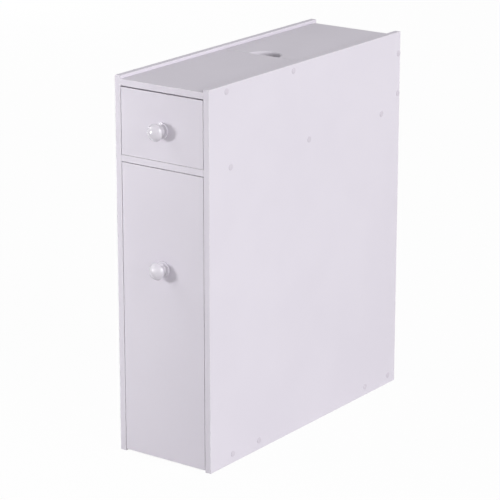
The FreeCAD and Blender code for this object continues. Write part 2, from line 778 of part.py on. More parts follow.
# Pull-out: two trays between a tall front and a back
def pullout():
    trays = {"lower": lower_tray_z, "upper": upper_tray_z}
    slide_front("pullout", pullout_front_z, pullout_knob_z, side_dowels(*trays.values()))
    screws = []
    back_screws = []
    for tray, guard_z in trays.items():
        shelf_z = (guard_z[0] + size.shelf_lift, guard_z[0] + size.shelf_lift + size.board)
        shelf_ys = spread(front_back, guard_rear, size.shelf_screw_inset)
        shelf_screws = [(y, middle(shelf_z)) for y in shelf_ys]
        end_screws = [(side * box_side_mid, z) for side in SIDES.values()
                      for z in spread(*guard_z, size.dowel_inset)]
        shelf = board(f"pullout_{tray}_shelf", "Z", (-box_inner_half, box_inner_half),
                      (front_back, guard_rear), shelf_z)
        drill(shelf, "back_screw", "Y", -1, guard_rear, [(0, middle(shelf_z))], box_hole, box_screw_in_end)
        for name, side in SIDES.items():
            guard = box_side(f"pullout_{tray}_{name}_guard", side, guard_rear, guard_z,
                             pullout_box if tray == "lower" else None)
            drill(guard, "shelf_screws", "X", -side, side * box_half, shelf_screws, box_hole, head=box_head)
            own_ends = [(x, z) for x, z in end_screws if x.value * side > 0]
            drill(guard, "back_screws", "Y", -1, guard_rear, own_ends, box_hole, box_screw_in_end)
            drill(shelf, f"{name}_screws", "X", -side, side * box_inner_half, shelf_screws,
                  box_hole, box_screw_in_end)
            screws += [(side * box_half, y, z, INWARD[side]) for y, z in shelf_screws]
        back_screws += end_screws + [(0, middle(shelf_z))]
    back = board("pullout_back", "Y", (-box_half, box_half), (guard_rear, pullout_rear),
                 (lower_tray_z[0], upper_tray_z[1]))
    drill(back, "screws", "Y", -1, pullout_rear, back_screws, box_hole, head=box_head)
    copies("pullout_screws", box_screw, screws + [(x, pullout_rear, z, "-Y") for x, z in back_screws])


drawer()
pullout()


# Runners: a channel on the side panel and a flanged rail on the box, each with one roller. The
# channel's roller carries the rail's flange, and the rail's roller runs along the channel's floor.
def runner_heights(box):
    """Heights of the channel's floor and of the rail's flange."""
    floor = axle_z(box) - size.roller_radius - size.roller_gap
    flange = axle_z(box) + size.roller_radius + size.roller_gap
    return floor, flange


def cabinet_runner(box, name, side):
    sheet_metal = size.runner_sheet
    floor, flange = runner_heights(box)
    roof = flange + sheet_metal + size.runner_roof_gap
    reach = size.runner_space - sheet_metal - size.runner_flange_gap
    rail = new_body(f"{box.name}_{name}_cabinet_runner")
    section = [
        (0, floor - sheet_metal), (reach, floor - sheet_metal), (reach, floor), (sheet_metal, floor),
        (sheet_metal, roof), (reach, roof), (reach, roof + sheet_metal), (0, roof + sheet_metal),
    ]
    sketch = new_sketch(rail, "section", "Y", box.runner_rear)
    draw(sketch, [(inward(side, distance), z) for distance, z in section])
    pad(rail, sketch, box.runner_rear - box.runner_front)
    web = inward(side, sheet_metal)
    drill(rail, "screws", "X", side, web, cabinet_runner_screw_places(box), runner_screw_hole)
    drill(rail, "rivet", "X", side, web, [(cabinet_axle_y(box), axle_z(box))], rivet_hole)


def box_runner(box, name, side):
    sheet_metal = size.runner_sheet
    flange = runner_heights(box)[1]
    tip = sheet_metal + size.runner_tip_gap
    web = size.runner_space - sheet_metal
    foot = size.runner_space + size.runner_foot
    rail = new_body(f"{box.name}_{name}_runner")
    section = [
        (size.runner_space, box.side_bottom), (foot, box.side_bottom),
        (foot, box.side_bottom - sheet_metal), (web, box.side_bottom - sheet_metal),
        (web, flange), (tip, flange), (tip, flange + sheet_metal), (size.runner_space, flange + sheet_metal),
    ]
    sketch = new_sketch(rail, "section", "Y", box.runner_rear)
    draw(sketch, [(inward(side, distance), z) for distance, z in section])
    pad(rail, sketch, box.runner_rear - box.runner_front)
    face = inward(side, web)
    drill(rail, "screws", "X", -side, face, box_runner_screw_places(box), runner_screw_hole)
    drill(rail, "rivet", "X", -side, face, [(box_axle_y(box), axle_z(box))], rivet_hole)


def roller(label, place, turn):
    """Roller on a rivet; it stands off the sheet that the rivet is set in."""
    start = size.runner_sheet + size.roller_side_gap
    end = start + size.roller_width
    tread = size.roller_radius - size.roller_edge
    piece = turned(label, [
        (start, rivet_hole),
        (start, tread),
        (start + size.roller_edge, size.roller_radius),
        (end - size.roller_edge, size.roller_radius),
        (end, tread),
        (end, rivet_hole),
    ], keep=True)
    set_place(piece, place, turn)


cabinet_rivets = []
cabinet_screws = []
for box in (drawer_box, pullout_box):
    box_rivets = []
    box_screws = []
    for name, side in SIDES.items():
        cabinet_runner(box, name, side)
        box_runner(box, name, side)
        cabinet_axle = (side * inner_half, cabinet_axle_y(box), axle_z(box))
        box_axle = (side * box_half, box_axle_y(box), axle_z(box))
        roller(f"{box.name}_{name}_front_roller", cabinet_axle, INWARD[side])
        roller(f"{box.name}_{name}_rear_roller", box_axle, OUTWARD[side])
        cabinet_rivets.append((*cabinet_axle, INWARD[side]))
        box_rivets.append((*box_axle, OUTWARD[side]))
        web = inward(side, size.runner_sheet)
        cabinet_screws += [(web, y, z, OUTWARD[side]) for y, z in cabinet_runner_screw_places(box)]
        web = inward(side, size.runner_space - size.runner_sheet)
        box_screws += [(web, y, z, INWARD[side]) for y, z in box_runner_screw_places(box)]
    copies(f"{box.name}_roller_rivets", roller_rivet, box_rivets)
    copies(f"{box.name}_runner_screws", runner_screw, box_screws)
copies("cabinet_roller_rivets", roller_rivet, cabinet_rivets)
copies("cabinet_runner_screws", runner_screw, cabinet_screws)


def check():
    """Refuse to write anything while an object failed or a sub-part has no sound shape."""
    for thing in doc.Objects:
        if {"Invalid", "Error"} & set(thing.State):
            raise RuntimeError(f"{thing.Label} failed: {thing.State}")
    for part in sub_parts:
        if part.Shape.isNull() or not part.Shape.isValid():
            raise RuntimeError(f"{part.Label} has no sound shape")


doc.recompute()
check()
os.makedirs("parts", exist_ok=True)
for part in sub_parts:
    part.Shape.exportStep(f"parts/{part.Label}.step")
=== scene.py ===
"""Looks of a slim bathroom cabinet: finishes, turned and pressed hardware, studio light and camera.

Metres, in the cabinet's own frame: +X is its right, -Y its front and +Z up.
"""
import json
import math
from collections import namedtuple

import bmesh
import bpy
from bpy.props import FloatProperty, FloatVectorProperty, IntProperty, PointerProperty
from mathutils import Matrix, Vector

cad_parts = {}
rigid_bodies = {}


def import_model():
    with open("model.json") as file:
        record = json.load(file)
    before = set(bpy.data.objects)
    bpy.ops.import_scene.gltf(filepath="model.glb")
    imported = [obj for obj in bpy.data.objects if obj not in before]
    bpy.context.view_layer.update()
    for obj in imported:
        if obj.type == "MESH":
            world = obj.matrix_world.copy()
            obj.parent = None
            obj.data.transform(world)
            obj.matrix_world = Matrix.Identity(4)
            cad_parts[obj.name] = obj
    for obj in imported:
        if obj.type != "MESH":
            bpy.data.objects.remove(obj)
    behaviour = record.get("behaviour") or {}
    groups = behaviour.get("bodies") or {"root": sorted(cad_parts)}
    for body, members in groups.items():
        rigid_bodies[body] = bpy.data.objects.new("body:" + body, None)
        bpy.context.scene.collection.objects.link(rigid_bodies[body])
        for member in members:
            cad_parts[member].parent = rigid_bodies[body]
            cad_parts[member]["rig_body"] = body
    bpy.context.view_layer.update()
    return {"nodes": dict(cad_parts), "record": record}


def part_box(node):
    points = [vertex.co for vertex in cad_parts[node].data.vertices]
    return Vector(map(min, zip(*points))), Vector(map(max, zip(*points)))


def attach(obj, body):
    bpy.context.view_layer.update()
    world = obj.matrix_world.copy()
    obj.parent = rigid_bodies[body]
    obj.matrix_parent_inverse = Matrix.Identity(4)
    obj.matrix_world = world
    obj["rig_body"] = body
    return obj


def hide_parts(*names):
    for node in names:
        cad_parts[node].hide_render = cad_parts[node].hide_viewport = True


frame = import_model()

bl_info = {
    "name": "Bathroom cabinet looks",
    "version": (1, 0, 0),
    "blender": (4, 5, 0),
    "location": "View3D > Sidebar > Cabinet",
    "description": "Dresses the slim bathroom cabinet and sets up its studio",
    "category": "Object",
}

UP = Vector((0, 0, 1))
FORWARD = Vector((0, -1, 0))
# Corners of a square round the origin, in turn.
SQUARE = ((-1, -1), (1, -1), (1, 1), (-1, 1))
# Points within MERGE are one point, and measures within NEAR, or alike in so many PLACES, count as equal.
MERGE = 1e-7
NEAR = 1e-5
PLACES = 5
# A cutter's shoulder stands this far off the face that it opens into.
SKIN = 50 * MERGE
# Edges that turn by more than this stay sharp.
SMOOTH_ANGLE = math.radians(32)
Lamp = namedtuple("Lamp", "description place size power")
LAMPS = {
    "key": Lamp("Small near lamp at the left of the front", (-0.60, -1.06, 0.59), 0.23, 5.3),
    "side": Lamp("Large lamp on the cabinet's right", (8.4, -0.4, 4.2), 6.0, 690),
    "fill": Lamp("Large lamp beside the camera", (1.34, -2.88, 1.99), 1.5, 8),
    "left": Lamp("Large lamp above the cabinet's left", (-2.9, -1.5, 2.9), 1.5, 31),
    "rear": Lamp("Small low lamp behind the cabinet, on its left", (-3.4, 3.0, 0.3), 0.6, 80),
}
SLOTS = {part["node"]: part["material_slot"] for part in frame["record"]["subparts"]}
# Measures of a round solid: the middle of its wide end, the way it points, and its length and radii.
Rod = namedtuple("Rod", "spot direction length face wide shank head bore")


# Properties

def length(name, description, default):
    return FloatProperty(name=name, description=description, default=default, unit="LENGTH", precision=5)


def share(name, description, default):
    return FloatProperty(name=name, description=description, default=default, min=0, max=1, subtype="FACTOR")


def count(name, description, default):
    return IntProperty(name=name, description=description, default=default, min=1)


def angle(name, description, default):
    return FloatProperty(name=name, description=description, default=math.radians(default), subtype="ANGLE")


def colour(name, description, default):
    return FloatVectorProperty(name=name, description=description, default=default, min=0, max=1,
                               subtype="COLOR", size=3)


def place(name, description, default):
    return FloatVectorProperty(name=name, description=description, default=default, subtype="XYZ",
                               unit="LENGTH", size=3)


def watts(name, description, default):
    return FloatProperty(name=name, description=description, default=default, min=0, unit="POWER")


class CabinetFinishes(bpy.types.PropertyGroup):
    """Colours and gloss of the cabinet's materials."""
    paint: colour("Paint", "Satin paint on the boards", (0.722, 0.686, 0.755))
    paint_shade: colour("Paint shade", "Where the paint lies a little thinner", (0.706, 0.670, 0.740))
    # Paint on edges is a painted highlight: lighter paint where the eased edges would catch light.
    paint_edge: colour("Paint on edges", "Paint worn thin along the eased edges", (0.775, 0.745, 0.795))
    paint_roughness: share("Paint roughness", "Gloss of the satin paint", 0.55)
    # The edge width and the next share set how far and how strongly the paint along an edge is lightened as a
    # painted highlight; the width also bounds the rougher paint along an edge.
    edge_width: length("Edge width", "How far the wear reaches from an edge", 0.0022)
    edge_wear: share("Edge wear", "How much of the paint along an edge is worn thin", 0.8)
    peel: length("Orange peel", "Height of the spray paint's fine ripple", 0.000016)
    end_grain_start: length("End grain start", "Depth under a face where end grain begins to show", 0.0006)
    end_grain_full: length("End grain full", "Depth under a face where end grain shows in full", 0.0014)
    panel: colour("Panel face", "White facing of the thin panels", (0.72, 0.70, 0.74))
    panel_cloud: colour("Panel clouds", "Faint clouds in the facing", (0.55, 0.53, 0.55))
    panel_rear: colour("Panel rear", "Sealed rear face of the thin panels", (0.63, 0.605, 0.635))
    panel_marks: colour("Panel marks", "Marks of the press cloth on the rear face", (0.50, 0.475, 0.48))
    facing_depth: length("Facing depth", "From a panel's middle to where its facing or rear begins", 0.0004)
    lacquer: colour("Knob lacquer", "Gloss lacquer of the knobs", (0.640, 0.610, 0.670))
    lacquer_cloud: colour("Lacquer clouds", "Where the lacquer lies thicker", (0.67, 0.64, 0.70))
    lacquer_roughness: share("Lacquer roughness", "Gloss of the knobs", 0.15)
    cap: colour("Cover cap", "Plastic of the screw cover caps", (0.628, 0.586, 0.654))
    cap_grain: colour("Cap grain", "Low places in the caps' grain", (0.618, 0.578, 0.644))
    nylon: colour("Nylon", "Natural nylon of rollers, bushes and pegs", (0.72, 0.70, 0.63))
    nylon_cloud: colour("Nylon clouds", "Milky clouds in the nylon", (0.78, 0.76, 0.70))
    powder: colour("Powder coat", "Powder coat on the runners", (0.74, 0.73, 0.74))
    powder_cloud: colour("Powder clouds", "Where the powder lies thinner", (0.70, 0.69, 0.71))
    zinc: colour("Zinc", "Zinc plate of screws, rivets and pins", (0.62, 0.63, 0.65))
    zinc_tint: colour("Zinc tint", "Thin passivated tint on the zinc", (0.55, 0.56, 0.52))
    beech: colour("Beech", "Beech of the dowels", (0.56, 0.38, 0.21))
    beech_light: colour("Beech light", "Paler grain of the dowels", (0.62, 0.44, 0.26))
    beech_dark: colour("Beech rays", "Short dark rays in the dowels", (0.40, 0.25, 0.13))


class CabinetShapes(bpy.types.PropertyGroup):
    """Sizes of the turned, moulded and pressed details."""
    round_steps: count("Round steps", "Sides of a turned piece", 72)
    small_steps: count("Small round steps", "Sides of a screw", 16)
    corner_steps: count("Corner steps", "Sides of a rounded corner", 5)
    fit: length("Fit", "Clearance round a pin or screw in its hole", 0.00005)
    knob_flange: length("Knob flange", "Radius of the flange against the board", 0.0122)
    knob_flange_height: length("Flange height", "Thickness of the flange", 0.0028)
    knob_neck: length("Knob neck", "Radius of the neck", 0.007)
    knob_neck_top: length("Neck top", "Height where the neck flares into the head", 0.0114)
    knob_flare: length("Head flare", "Height where the flare would meet the rim", 0.0145)
    knob_rim_height: length("Rim height", "Height of the widest ring of the head", 0.0160)
    knob_ease: length("Knob easing", "Radius of the eased flange and rim", 0.0018)
    cap_dome: length("Cap dome", "Rise of the cap's face over its rim", 0.00025)
    cap_ease: length("Cap easing", "Radius of the cap's rim", 0.0004)
    panel_ease: length("Panel easing", "Radius of the thin panels' eased edges", 0.0005)
    lid_ease: length("Lid easing", "Radius of the lid's eased edges", 0.0012)
    notch: length("Notch", "Radius of the finger notch in the lid", 0.025)
    notch_ease: length("Notch easing", "Radius of the notch's rounded upper rim", 0.0036)
    thread_pitch: share("Thread pitch", "Rise of a thread in one turn as a share of the screw's radius", 0.85)
    thread_rings: count("Thread rings", "Rings of points in one turn of a thread", 5)
    thread_root: share("Thread root", "Radius between the threads as a share of the screw's", 0.72)
    socket: length("Socket", "Half the width of the carcass screws' hexagon socket", 0.0016)
    socket_depth: length("Socket depth", "Depth of the hexagon socket", 0.0018)
    drive: share("Cross drive", "Width of a cross recess as a share of the head's", 0.62)
    flutes: count("Flutes", "Grooves round a dowel", 12)
    flute_depth: length("Flute depth", "Depth of a dowel's grooves", 0.00035)
    small_ease: length("Small easing", "Radius of eased edges on small hardware", 0.0004)
    roller_hub: length("Roller hub", "Radius of the raised hub of a roller", 0.0046)
    roller_tyre: length("Roller tyre", "Width of the raised tyre of a roller, seen from its side", 0.0019)
    roller_recess: length("Roller recess", "Depth of the web between the hub and the tyre", 0.0009)
    sheet: length("Sheet", "Thickness of the runners' steel", 0.0012)
    bend: length("Bend", "Inner radius of the runners' bends", 0.0007)
    slot_width: length("Slot width", "Width of the slots in the runners", 0.0042)
    slot_length: length("Slot length", "Length of the slots in the runners", 0.011)
    slot_spacing: length("Slot spacing", "Distance between the slots in the runners", 0.032)


class CabinetStage(bpy.types.PropertyGroup):
    """Camera, lamps and floor."""
    azimuth: angle("Azimuth", "Camera's angle round the cabinet from its front", 35.98)
    elevation: angle("Elevation", "Camera's angle above the horizon", 16.99)
    distance: length("Distance", "From the camera to the point it looks at", 3.727)
    target: place("Target", "Point that the camera looks at", (-0.0249, 0.0125, 0.2642))
    lens: FloatProperty(name="Lens", description="Focal length in millimetres", default=173.2, unit="CAMERA")
    floor: length("Floor", "Width of the floor", 14.0)
    floor_white: share("Floor white", "Share of plain white in what the camera sees of the floor", 0.97)
    floor_colour: colour("Floor colour", "Pale floor", (0.60, 0.60, 0.60))
    ambient: colour("Ambient", "Soft light from all round", (0.28, 0.28, 0.28))


for lamp_name, lamp in LAMPS.items():
    title = lamp_name.title()
    CabinetStage.__annotations__.update({
        f"{lamp_name}_place": place(f"{title} lamp", lamp.description, lamp.place),
        f"{lamp_name}_size": length(f"{title} size", f"Width of the {lamp_name} lamp", lamp.size),
        f"{lamp_name}_power": watts(f"{title} power", f"Watts of the {lamp_name} lamp", lamp.power),
    })


# Shader graphs

class Signal:
    """A node's output in a sum: each operator adds the Math node that works it out."""

    def __init__(self, graph, socket):
        self.graph = graph
        self.socket = socket

    def out(self, name):
        """Another output of the same node."""
        return Signal(self.graph, self.socket.node.outputs[name])

    def math(self, operation, *values):
        return self.graph.node("ShaderNodeMath", {"operation": operation}, values)

    def __add__(self, other):
        return self.math("ADD", self, other)

    def __sub__(self, other):
        return self.math("SUBTRACT", self, other)

    def __rsub__(self, other):
        return self.math("SUBTRACT", other, self)

    def __mul__(self, other):
        return self.math("MULTIPLY", self, other)

    def __abs__(self):
        return self.math("ABSOLUTE", self)

    __radd__ = __add__
    __rmul__ = __mul__

    def least(self, other):
        return self.math("MINIMUM", self, other)

    def most(self, other):
        return self.math("MAXIMUM", self, other)

    def fade(self, low, high):
        """0 up to low and 1 from high on, with a smooth step between."""
        return self.graph.node("ShaderNodeMapRange", {"interpolation_type": "SMOOTHSTEP"},
                               {"Value": self, "From Min": low, "From Max": high})


def find_socket(sockets, key):
    """Input by its number, or the one in use that has a name."""
    if isinstance(key, int):
        return sockets[key]
    return next(socket for socket in sockets if socket.name == key and socket.enabled)


class Graph:
    """A node tree that is built from expressions."""

    def __init__(self, tree):
        self.tree = tree

    def node(self, kind, settings=None, inputs=(), output=None):
        """Add a node: its settings first, then the value or link of each input."""
        node = self.tree.nodes.new(kind)
        for name, value in (settings or {}).items():
            setattr(node, name, value)
        pairs = inputs.items() if isinstance(inputs, dict) else enumerate(inputs)
        for key, value in pairs:
            self.feed(find_socket(node.inputs, key), value)
        if output is None:
            return Signal(self, next(socket for socket in node.outputs if socket.enabled))
        return Signal(self, node.outputs[output])

    def feed(self, socket, value):
        """Link a signal to an input, or set the input's own value."""
        if isinstance(value, Signal):
            self.tree.links.new(value.socket, socket)
        elif socket.type == "RGBA":
            socket.default_value = (*value[:3], 1)
        else:
            socket.default_value = value

    def mix(self, factor, first, second):
        """Colour between two colours."""
        return self.node("ShaderNodeMix", {"data_type": "RGBA"}, {"Factor": factor, "A": first, "B": second})

    def vector(self, operation, *values):
        return self.node("ShaderNodeVectorMath", {"operation": operation}, values)

    def light_path(self):
        """1 for rays that see the background: the camera's, and those off gloss and through glass."""
        path = self.node("ShaderNodeLightPath", output="Is Camera Ray")
        return path.most(path.out("Is Glossy Ray")).most(path.out("Is Transmission Ray"))


class Finish(Graph):
    """A material round one Principled shader, patterned by a piece's own coordinates."""

    def __init__(self, name, **constants):
        self.material = bpy.data.materials.new(name)
        self.material.use_nodes = True
        super().__init__(self.material.node_tree)
        self.shader = self.tree.nodes["Principled BSDF"]
        self.spot = self.node("ShaderNodeTexCoord", output="Object")
        self.set(**constants)

    def set(self, **values):
        """Set or link the shader's sockets; an underscore stands for a space."""
        for name, value in values.items():
            self.feed(self.shader.inputs[name.replace("_", " ")], value)

    def noise(self, scale, detail=2, spot=None):
        return self.node("ShaderNodeTexNoise", {}, {
            "Vector": spot or self.spot, "Scale": scale, "Detail": detail}, output="Fac")

    def stretched(self, along, across, axis):
        """Coordinates scaled for a pattern drawn out along one axis, 0 to 2."""
        scale = [across, across, across]
        scale[axis] = along
        return self.vector("MULTIPLY", self.spot, scale)

    def bump(self, *layers):
        """Stack (height, distance) layers of relief into the shader's normal."""
        normal = None
        for height, distance in layers:
            inputs = {"Height": height, "Distance": distance}
            if normal:
                inputs["Normal"] = normal
            normal = self.node("ShaderNodeBump", {}, inputs)
        self.set(Normal=normal)

    def depths(self, low, high):
        """Depth below each pair of faces of a box, along x, y and z."""
        axes = self.node("ShaderNodeSeparateXYZ", {}, (self.spot,))
        return [(high[i] - low[i]) / 2 - abs(axes.out(name) - (low[i] + high[i]) / 2)
                for i, name in enumerate("XYZ")]


# Finishes

def thin_axis(low, high):
    """Axis along which a box is thinnest."""
    return min(range(3), key=lambda axis: high[axis] - low[axis])


def painted_board(node, looks):
    """Satin paint on fibreboard: faint cloudiness, spray ripple, and a painted highlight of lighter paint
    along the edges.
    """
    stipple_matting = 0.1
    edge_matting = 0.08
    end_matting = 0.06
    wave_rise = 5
    fibre_rise = 2.5
    low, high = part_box(node)
    finish = Finish(f"paint_{node}", IOR=1.46, Specular_IOR_Level=0.05)
    depths = finish.depths(low, high)
    x, y, z = depths
    edge = 1 - x.least(y).most(x.most(y).least(z)).fade(low=0, high=looks.edge_width)
    end_grain = depths[thin_axis(low, high)].fade(low=looks.end_grain_start, high=looks.end_grain_full)
    cloud = finish.noise(scale=5.5, detail=3)
    ripple = finish.noise(scale=620, detail=1)
    stipple = finish.noise(scale=190)
    fibres = finish.noise(scale=340, detail=3)
    tone = finish.mix(cloud.fade(low=0.35, high=0.68), looks.paint, looks.paint_shade)
    # Painted highlight: the paint is lightened along the eased edges, where they would catch light.
    edge_highlight = edge * stipple.fade(low=0.2, high=0.7) * looks.edge_wear
    finish.set(
        Base_Color=finish.mix(edge_highlight, tone, looks.paint_edge),
        Roughness=(looks.paint_roughness + stipple_matting * (stipple - 0.5) + edge_matting * edge
                   + end_matting * end_grain),
    )
    waves = finish.noise(scale=11, detail=1)
    finish.bump((waves, looks.peel * wave_rise), (ripple, looks.peel),
                (end_grain * fibres, looks.peel * fibre_rise))
    return finish.material


def faced_panel(node, looks):
    """Hardboard with a white facing, and a sealed rear face that keeps the press cloth's marks."""
    roughness = 0.46
    cloud_share = 0.05
    marks_share = 0.25
    rear_matting = 0.22
    cloth_matting = 0.06
    cloth_rise = 3
    low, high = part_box(node)
    thin = thin_axis(low, high)
    axis = "XYZ"[thin]
    finish = Finish(f"facing_{node}", IOR=1.46, Specular_IOR_Level=0.05)
    across = finish.node("ShaderNodeSeparateXYZ", {}, (finish.spot,)).out(axis)
    middle = (low[thin] + high[thin]) / 2
    rear = (across - middle).fade(low=-looks.facing_depth, high=looks.facing_depth)
    if axis == "Z":
        rear = 1 - rear
    cloth = finish.noise(scale=420)
    cloud = finish.noise(scale=7)
    face = finish.mix(cloud_share * cloud, looks.panel, looks.panel_cloud)
    back = finish.mix(marks_share * cloth, looks.panel_rear, looks.panel_marks)
    finish.set(Base_Color=finish.mix(rear, face, back),
               Roughness=roughness + rear_matting * rear + cloth_matting * cloth)
    finish.bump((cloth, looks.peel * cloth_rise), (finish.noise(scale=900, detail=1), looks.peel))
    return finish.material


def knob_lacquer(looks):
    """Clear-coated white lacquer with a faint ripple."""
    ripple = 0.00001
    cloud_matting = 0.08
    finish = Finish("knob_lacquer", IOR=1.5, Coat_Weight=0.5, Coat_Roughness=0.06)
    cloud = finish.noise(scale=90)
    finish.set(Base_Color=finish.mix(cloud.fade(low=0.3, high=0.7), looks.lacquer, looks.lacquer_cloud),
               Roughness=looks.lacquer_roughness + cloud_matting * cloud)
    finish.bump((finish.noise(scale=260, detail=1), ripple))
    return finish.material


def cap_plastic(looks):
    """Matt moulded plastic with a fine spark-eroded grain."""
    relief = 0.00002
    roughness = 0.5
    grain_share = 0.3
    grain_matting = 0.12
    finish = Finish("cap_plastic", IOR=1.46, Specular_IOR_Level=0.35)
    grain = finish.noise(scale=1500)
    finish.set(Base_Color=finish.mix(grain_share * grain, looks.cap, looks.cap_grain),
               Roughness=roughness + grain_matting * grain)
    finish.bump((grain, relief))
    return finish.material


def nylon(looks):
    """Milky nylon with the fine texture of its mould."""
    relief = 0.000012
    roughness = 0.34
    cloud_matting = 0.16
    finish = Finish("nylon", IOR=1.53, Subsurface_Weight=0.15, Subsurface_Scale=0.002)
    cloud = finish.noise(scale=140)
    finish.set(Base_Color=finish.mix(cloud, looks.nylon, looks.nylon_cloud),
               Roughness=roughness + cloud_matting * cloud)
    finish.bump((finish.noise(scale=900), relief))
    return finish.material


def powder_coat(looks):
    """Baked powder coat with its pebbled surface."""
    relief = 0.00003
    roughness = 0.3
    pebble_matting = 0.12
    finish = Finish("powder_coat", IOR=1.5, Specular_IOR_Level=0.45)
    pebble = finish.noise(scale=750)
    finish.set(Base_Color=finish.mix(finish.noise(scale=18), looks.powder, looks.powder_cloud),
               Roughness=roughness + pebble_matting * pebble)
    finish.bump((pebble, relief))
    return finish.material


def zinc_plate(looks):
    """Bright zinc with tumbling scratches and a thin passivated tint."""
    relief = 0.000008
    roughness = 0.26
    scratch_matting = 0.18
    finish = Finish("zinc_plate", Metallic=1.0)
    tint = finish.noise(scale=160, detail=3)
    scratches = finish.noise(scale=60, spot=finish.stretched(along=2, across=40, axis=0))
    finish.set(Base_Color=finish.mix(tint.fade(low=0.4, high=0.7), looks.zinc, looks.zinc_tint),
               Roughness=roughness + scratch_matting * scratches)
    finish.bump((scratches, relief))
    return finish.material


def beech_wood(looks):
    """Plain beech with short dark rays along the grain."""
    relief = 0.00004
    roughness = 0.6
    ray_share = 0.7
    grain_matting = 0.15
    finish = Finish("beech_wood", IOR=1.45, Specular_IOR_Level=0.3)
    grain = finish.noise(scale=14, detail=4, spot=finish.stretched(along=6, across=60, axis=1))
    flecks = finish.noise(scale=40, detail=1, spot=finish.stretched(along=5, across=22, axis=1))
    rays = flecks.fade(low=0.6, high=0.72)
    tone = finish.mix(grain, looks.beech, looks.beech_light)
    finish.set(Base_Color=finish.mix(ray_share * rays, tone, looks.beech_dark),
               Roughness=roughness + grain_matting * grain)
    finish.bump((grain, relief))
    return finish.material


def shared(make, looks):
    """A finish that several steps use: made once, then found by its name."""
    return bpy.data.materials.get(make.__name__) or make(looks)


# Shapes

def eased(corners, steps, closed=False):
    """Outline through (u, v, radius) corners, each rounded to its radius by an arc."""
    points = [Vector(corner[:2]) for corner in corners]
    outline = []
    for index, point in enumerate(points):
        radius = corners[index][2] if len(corners[index]) > 2 else 0
        inside = closed or 0 < index < len(points) - 1
        if not radius or not inside:
            outline.append(point)
            continue
        before = (points[index - 1] - point).normalized()
        after = (points[(index + 1) % len(points)] - point).normalized()
        half = before.angle(after) / 2
        centre = point + (before + after).normalized() * (radius / math.sin(half))
        start = point + before * (radius / math.tan(half)) - centre
        turn = start.angle_signed(point + after * (radius / math.tan(half)) - centre)
        for step in range(steps + 1):
            outline.append(centre + Matrix.Rotation(-turn * step / steps, 2) @ start)
    return outline


def tidied(shape):
    """Merge doubled points, drop faces without area and turn all faces outwards."""
    bmesh.ops.remove_doubles(shape, verts=shape.verts, dist=MERGE)
    bmesh.ops.dissolve_degenerate(shape, edges=shape.edges, dist=MERGE)
    bmesh.ops.recalc_face_normals(shape, faces=shape.faces)
    return shape


def turned(profile, steps):
    """Round shape about +Z from (radius, height) points."""
    shape = bmesh.new()
    points = [shape.verts.new((radius, 0, height)) for radius, height in profile]
    edges = [shape.edges.new(pair) for pair in zip(points, points[1:])]
    bmesh.ops.spin(shape, geom=points + edges, axis=UP, cent=(0, 0, 0), steps=steps, angle=math.tau,
                   use_merge=True)
    return tidied(shape)


def bored(profile, steps):
    """Round shape about +Z from a closed profile that leaves the axis open."""
    return turned([*profile, profile[0]], steps)


def lofted(sections):
    """Closed shape through sections of as many points each, with a flat face at both ends."""
    shape = bmesh.new()
    rings = [[shape.verts.new(point) for point in section] for section in sections]
    for first, second in zip(rings, rings[1:]):
        for index in range(len(first)):
            after = (index + 1) % len(first)
            shape.faces.new((first[index], first[after], second[after], second[index]))
    shape.faces.new(rings[0])
    shape.faces.new(rings[-1])
    return tidied(shape)


def eased_ends(start, end, ease, steps, section):
    """Sections from start to end that draw in by a quarter round at both ends."""
    turns = [math.pi / 2 * step / steps for step in range(steps + 1)]
    rounds = [(ease * (1 - math.cos(turn)), ease * (1 - math.sin(turn))) for turn in turns]
    return ([section(start + along, inset) for along, inset in rounds]
            + [section(end - along, inset) for along, inset in reversed(rounds)])


def framed(low, high, inset, radii, steps):
    """Outline of a box seen along x, drawn in by an inset; its radii go round from the front foot."""
    front, rear = low.y + inset, high.y - inset
    foot, head = low.z + inset, high.z - inset
    corners = ((front, foot), (rear, foot), (rear, head), (front, head))
    return eased([(*corner, radius) for corner, radius in zip(corners, radii)], steps, closed=True)


def sheet(low, high, ease, rear, steps):
    """Flat board with eased edges and rounded rear edges, between two corners."""
    def section(x, inset):
        corner = max(ease - inset, MERGE)
        behind = max(rear - inset - MERGE, MERGE)
        outline = framed(low, high, inset, (corner, behind, behind, corner), steps)
        return [(x, y, z) for y, z in outline]

    return lofted(eased_ends(low.x, high.x, ease, steps, section))


def stood(shape, spot, direction):
    """Move a shape so that its origin is at a spot and its +Z points along a direction."""
    turn = UP.rotation_difference(direction).to_matrix().to_4x4()
    shape.transform(Matrix.Translation(spot) @ turn)
    return shape


def joined(shapes):
    """One shape from several."""
    whole = bmesh.new()
    for shape in shapes:
        part = bpy.data.meshes.new("part")
        shape.to_mesh(part)
        shape.free()
        whole.from_mesh(part)
        bpy.data.meshes.remove(part)
    return whole


def placed(pattern, found):
    """Copies of a pattern on each rod's spot, along its direction."""
    copies = [stood(pattern.copy(), rod.spot, rod.direction) for rod in found]
    pattern.free()
    return joined(copies)


def scratch_object(shape):
    """A shape as an object, for a modifier to work on."""
    mesh = bpy.data.meshes.new("scratch")
    shape.to_mesh(mesh)
    shape.free()
    thing = bpy.data.objects.new("scratch", mesh)
    bpy.context.scene.collection.objects.link(thing)
    return thing


def combined(operation, shape, *others):
    """One shape with the others taken away from it, or added to it."""
    blank = scratch_object(shape)
    tools = [scratch_object(other) for other in others]
    for tool in tools:
        modifier = blank.modifiers.new("combine", "BOOLEAN")
        modifier.operation = operation
        modifier.solver = "EXACT"
        modifier.object = tool
    depsgraph = bpy.context.evaluated_depsgraph_get()
    result = bmesh.new()
    result.from_object(blank, depsgraph)
    for thing in [blank, *tools]:
        mesh = thing.data
        bpy.data.objects.remove(thing)
        bpy.data.meshes.remove(mesh)
    return result


